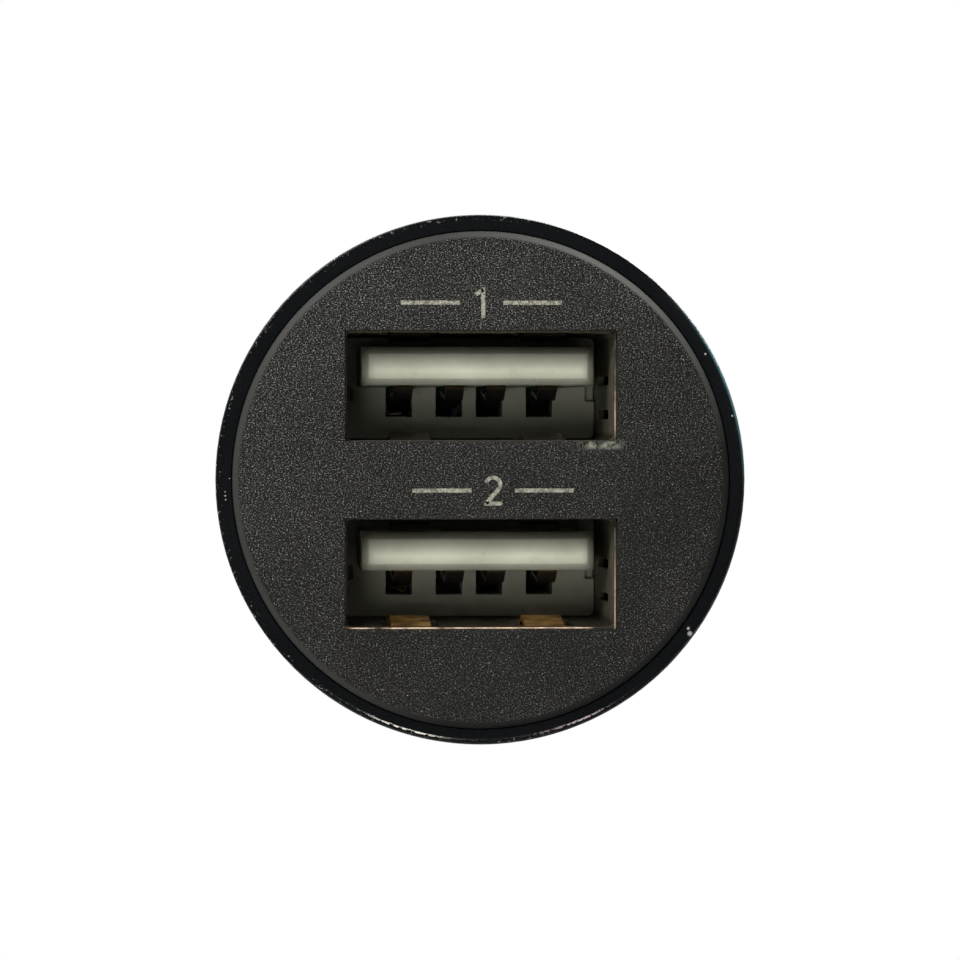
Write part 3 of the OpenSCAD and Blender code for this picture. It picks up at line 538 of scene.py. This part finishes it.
def stroke(points, width):
    """The outlines of a line of even width through points."""
    sides = []
    for i, here in enumerate(points):
        before = Vector(points[max(i - 1, 0)])
        after = Vector(points[min(i + 1, len(points) - 1)])
        along = (after - before).normalized()
        across = Vector((-along[1], along[0])) * width / 2
        sides.append((Vector(here) - across, Vector(here) + across))
    return [[a[0], b[0], b[1], a[1]] for a, b in zip(sides, sides[1:])]


def numeral_lines(text, height, width):
    """The centre lines of a plain 1 or 2 in height, about x = 0."""
    inset = width / 2
    if text == "1":
        stem_x = 0.06 * height
        return [[(stem_x, 0), (stem_x, height)],
                [(stem_x, height - inset), (-0.20 * height, 0.76 * height)]]
    bow = 0.27 * height - inset / 2
    centre = height - inset - bow
    arc = [(bow * math.cos(math.radians(a)), centre + bow * math.sin(math.radians(a)))
           for a in range(165, -46, -15)]
    return [arc + [(-bow, inset)], [(-bow - inset, inset), (bow + inset, inset)]]


def bar(x0, x1, z0, z1):
    return [(x0, z0), (x1, z0), (x1, z1), (x0, z1)]


def port_label(text, middle_x, z):
    """A numeral between two bars: a plain mark in place of the printed port name."""
    width, height = 7.6, 1.42
    pen, gap, half_digit = 0.19, 0.62, 0.28 * height
    ink_y = FACE_Y - 0.004
    outlines = []
    for line in numeral_lines(text, height, pen):
        outlines += stroke([(middle_x + x, z + up) for x, up in line], pen)
    for side in (-1, 1):
        x0, x1 = sorted((middle_x + side * (half_digit + gap), middle_x + side * width / 2))
        outlines.append(bar(x0, x1, z + height / 2 - pen / 2, z + height / 2 + pen / 2))
    points = [(x, ink_y, up) for outline in outlines for x, up in outline]
    faces = [[4 * i + k for k in range(4)] for i in range(len(outlines))]
    label = mesh_object("port_label_" + text, points, faces)
    wear(label, INK)
    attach(label, "plug")


def spring_coil():
    """The spring behind the centre contact, as a round wire."""
    low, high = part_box("contact_spring")
    wire_r, closed, working = 0.4, 0.9, 2.4
    radius = (high.x - low.x) / 2 / MM - wire_r
    start, length = low.y / MM + wire_r, (high.y - low.y) / MM - 2 * wire_r
    turns = working + 2 * closed
    closed_rise = closed * 2.1 * wire_r
    steps, sides = int(turns * 40), 14

    points = []
    for i in range(steps + 1):
        t = turns * i / steps
        if t < closed:
            rise = t / closed * closed_rise
        elif t > closed + working:
            rise = length - (turns - t) / closed * closed_rise
        else:
            rise = closed_rise + (t - closed) / working * (length - 2 * closed_rise)
        angle = 2 * math.pi * t
        for k in range(sides):
            around = 2 * math.pi * k / sides
            r = radius + wire_r * math.cos(around)
            y = start + rise + wire_r * math.sin(around)
            points.append((r * math.sin(angle), y, r * math.cos(angle)))
    faces = [
        [i * sides + k, i * sides + (k + 1) % sides, (i + 1) * sides + (k + 1) % sides, (i + 1) * sides + k]
        for i in range(steps)
        for k in range(sides)
    ]
    faces += [list(range(sides))[::-1], list(range(steps * sides, (steps + 1) * sides))]

    coil = mesh_object("spring_coil", points, faces)
    for polygon in coil.data.polygons:
        polygon.use_smooth = True
    wear(coil, FINISHES["spring_wire"])
    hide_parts("contact_spring")
    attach(coil, "plug")
    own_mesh(coil)


def studio_world():
    """White to the camera, and a dim soft room to everything else."""
    world = bpy.data.worlds.new("studio")
    bpy.context.scene.world = world
    world.use_nodes = True
    n = Nodes(world.node_tree)
    direction = n.put("ShaderNodeSeparateXYZ", {0: n.put("ShaderNodeTexCoord").outputs["Generated"]}).outputs
    by_height = n.stretch(direction["Z"], -0.2, 0.9, 0.12, 0.60)
    by_depth = n.stretch(direction["Y"], -0.4, 0.7, 0.6, 2.2)
    level = n.times(by_height, by_depth)
    room = n.put("ShaderNodeBackground", {"Color": (1, 0.99, 0.975, 1), "Strength": level})
    white = n.put("ShaderNodeBackground", {"Color": (1, 1, 1, 1)})
    rays = n.put("ShaderNodeLightPath").outputs
    seen = n.larger(rays["Is Camera Ray"], rays["Is Transmission Ray"])
    mix = n.put("ShaderNodeMixShader", {0: seen, 1: room.outputs[0], 2: white.outputs[0]})
    n.put("ShaderNodeOutputWorld", {0: mix.outputs[0]})


def floor_finish():
    """White with a soft shadow to the camera, and dim in front of the face to reflections."""
    s = Shader("pale_floor")
    pale = s.put("ShaderNodeBsdfDiffuse", {"Color": (0.8, 0.8, 0.79, 1)})
    rays = s.put("ShaderNodeLightPath").outputs
    seen = s.larger(rays["Is Camera Ray"], rays["Is Transmission Ray"])
    mirrored = s.times(rays["Is Glossy Ray"], s.stretch(s.y, -40, 30, 0.10, 0.45))
    open_above = s.put("ShaderNodeAmbientOcclusion", {"Distance": 0.16}, samples=16).outputs["AO"]
    shaded = s.times(seen, s.stretch(open_above, 0.70, 0.99, 0.70, 1.0))
    white = s.put("ShaderNodeEmission", {"Color": (1, 1, 1, 1), "Strength": s.larger(shaded, mirrored)})
    shown = s.larger(seen, rays["Is Glossy Ray"])
    return s.output(s.put("ShaderNodeMixShader", {0: shown, 1: pale.outputs[0], 2: white.outputs[0]}))


def pale_floor():
    half, level = 600, CAD_BOX[0][2] / MM - 90
    points = [(-half, -half, level), (half, -half, level), (half, half, level), (-half, half, level)]
    floor = mesh_object("floor", points, [[0, 1, 2, 3]])
    wear(floor, floor_finish())


def toward(place, target):
    """The rotation of a lamp or camera at place that looks at target."""
    return (target - place).to_track_quat("-Z", "Y").to_euler()


def soft_lamp(name, place, size, watts, colour=(1, 1, 1), target=FACE_MIDDLE, **seen_by):
    """An area lamp. seen_by turns off its diffuse light or its reflection."""
    lamp = bpy.data.lights.new(name, "AREA")
    lamp.shape = "RECTANGLE"
    lamp.size, lamp.size_y = size
    lamp.energy = watts
    lamp.color = colour
    obj = add_to_scene(name, lamp)
    obj.location = place
    obj.rotation_euler = toward(place, target)
    for ray, seen in seen_by.items():
        setattr(obj, "visible_" + ray, seen)


def from_face(azimuth, elevation, metres):
    """A place seen from the middle of the face: azimuth 0 is straight in front and 90 to the right."""
    a, e = math.radians(azimuth), math.radians(elevation)
    level = math.cos(e)
    return FACE_MIDDLE + metres * Vector((math.sin(a) * level, -math.cos(a) * level, math.sin(e)))


def off_axis(clock, angle, metres):
    """A place angle degrees off the face's axis, clock degrees from straight down towards the right."""
    c, a = math.radians(clock), math.radians(angle)
    out = math.sin(a)
    return FACE_MIDDLE + metres * Vector((math.sin(c) * out, -math.cos(a), -math.cos(c) * out))


def soft_light():
    soft_lamp("key", from_face(-25, 29, 0.5), (0.24, 0.16), 2.3, (1, 0.985, 0.95))
    soft_lamp("top", from_face(-38, 60, 0.4), (0.42, 0.22), 2.2, glossy=False)
    soft_lamp("fill", from_face(-9, -6.8, 0.5), (0.07, 0.07), 0.30, glossy=False)
    soft_lamp("low_left", off_axis(-12.6, 40, 0.12), (0.018, 0.012), 0.04, (1, 0.95, 0.84), diffuse=False)
    soft_lamp("low_right", off_axis(25, 40, 0.12), (0.014, 0.012), 0.018, (1, 0.80, 0.82), diffuse=False)
    soft_lamp("rear", from_face(150, 35, 0.5), (0.3, 0.3), 2.0, target=Vector((0, 0.02, 0)))


def photo_camera():
    """A long lens, nearly square on to the face, a little from the left and above."""
    azimuth, elevation, distance, lens = -3.0, 0.7, 0.2, 159.5
    data = bpy.data.cameras.new("photo_camera")
    data.lens, data.sensor_width, data.sensor_fit = lens, 36, "HORIZONTAL"
    data.clip_start, data.clip_end = 0.005, 20
    camera = add_to_scene("photo_camera", data)
    camera.location = from_face(azimuth, elevation, distance)
    aim = FACE_MIDDLE - Vector((0.07 * MM, 0, 0))
    camera.rotation_euler = toward(camera.location, aim)
    bpy.context.scene.camera = camera


dress_nodes()
port_label("1", 0.0, PORT_Z + 3.20)
port_label("2", 0.55, -PORT_Z + 3.22)
spring_coil()
studio_world()
pale_floor()
soft_light()
photo_camera()
bpy.context.scene.view_settings.view_transform = "Standard"
